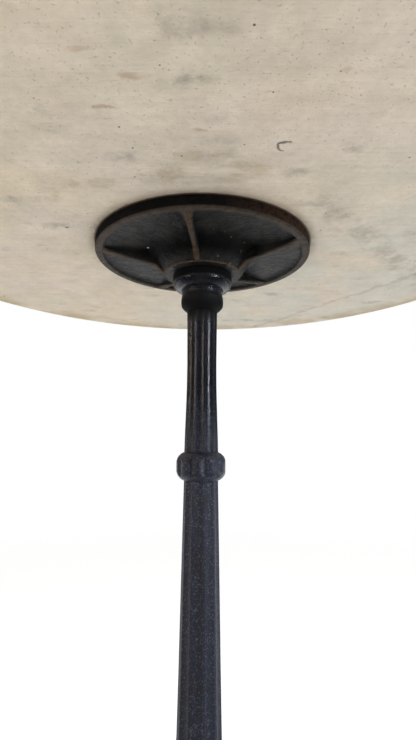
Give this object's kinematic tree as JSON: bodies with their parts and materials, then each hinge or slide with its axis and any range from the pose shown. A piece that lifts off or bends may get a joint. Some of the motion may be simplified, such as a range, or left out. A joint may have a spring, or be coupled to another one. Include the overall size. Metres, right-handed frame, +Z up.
{
  "type": "bistro table",
  "caption": "Round marble table top on a ribbed cast-iron plate, a slender fluted column with a lobed ring, and spreading cast legs with screw-in levelling glides.",
  "frame": {"origin": "on the floor under the middle of the column", "axes": "+Z up along the column; one rib of the top plate points nearly along -Y; the legs stand on the diagonals between X and Y"},
  "size_m": [0.6999, 0.7, 0.73],
  "materials": {
    "marble": "honed top, sawn and stained underside",
    "mastic": "hardened brown mastic",
    "plate_iron": "sand-cast, old black paint, rust on the raised edges",
    "column_iron": "sand-cast, blue-black gloss paint",
    "base_iron": "sand-cast, blue-black gloss paint",
    "cover_steel": "black paint",
    "fastener_steel": "plain steel, dulled",
    "glide_steel": "zinc-plated, dulled",
    "glide_plastic": "moulded black"
  },
  "bodies": {
    "table": {"marble_top": "marble", "mastic_bed": "mastic", "top_plate": "plate_iron", "column": "column_iron", "base_hub": "base_iron", "base_cover": "cover_steel", "tie_rod": "fastener_steel", "tie_rod_top_washer": "fastener_steel", "tie_rod_top_nut": "fastener_steel", "tie_rod_bottom_washer": "fastener_steel", "tie_rod_bottom_nut": "fastener_steel", "leg_bolts": "fastener_steel", "leg_bolt_washers": "fastener_steel", "leg_1": "base_iron", "leg_2": "base_iron", "leg_3": "base_iron", "leg_4": "base_iron"},
    "glide_1": {"glide_screw_1": "glide_steel", "glide_pad_1": "glide_plastic"},
    "glide_2": {"glide_screw_2": "glide_steel", "glide_pad_2": "glide_plastic"},
    "glide_3": {"glide_screw_3": "glide_steel", "glide_pad_3": "glide_plastic"},
    "glide_4": {"glide_screw_4": "glide_steel", "glide_pad_4": "glide_plastic"}
  },
  "joints": [
    {"name": "glide_1_height", "type": "slide", "parent": "table", "child": "glide_1", "axis": [0, 0, -1], "range_m": [0, 0.012]},
    {"name": "glide_2_height", "type": "slide", "parent": "table", "child": "glide_2", "axis": [0, 0, -1], "range_m": [0, 0.012]},
    {"name": "glide_3_height", "type": "slide", "parent": "table", "child": "glide_3", "axis": [0, 0, -1], "range_m": [0, 0.012]},
    {"name": "glide_4_height", "type": "slide", "parent": "table", "child": "glide_4", "axis": [0, 0, -1], "range_m": [0, 0.012]}
  ]
}
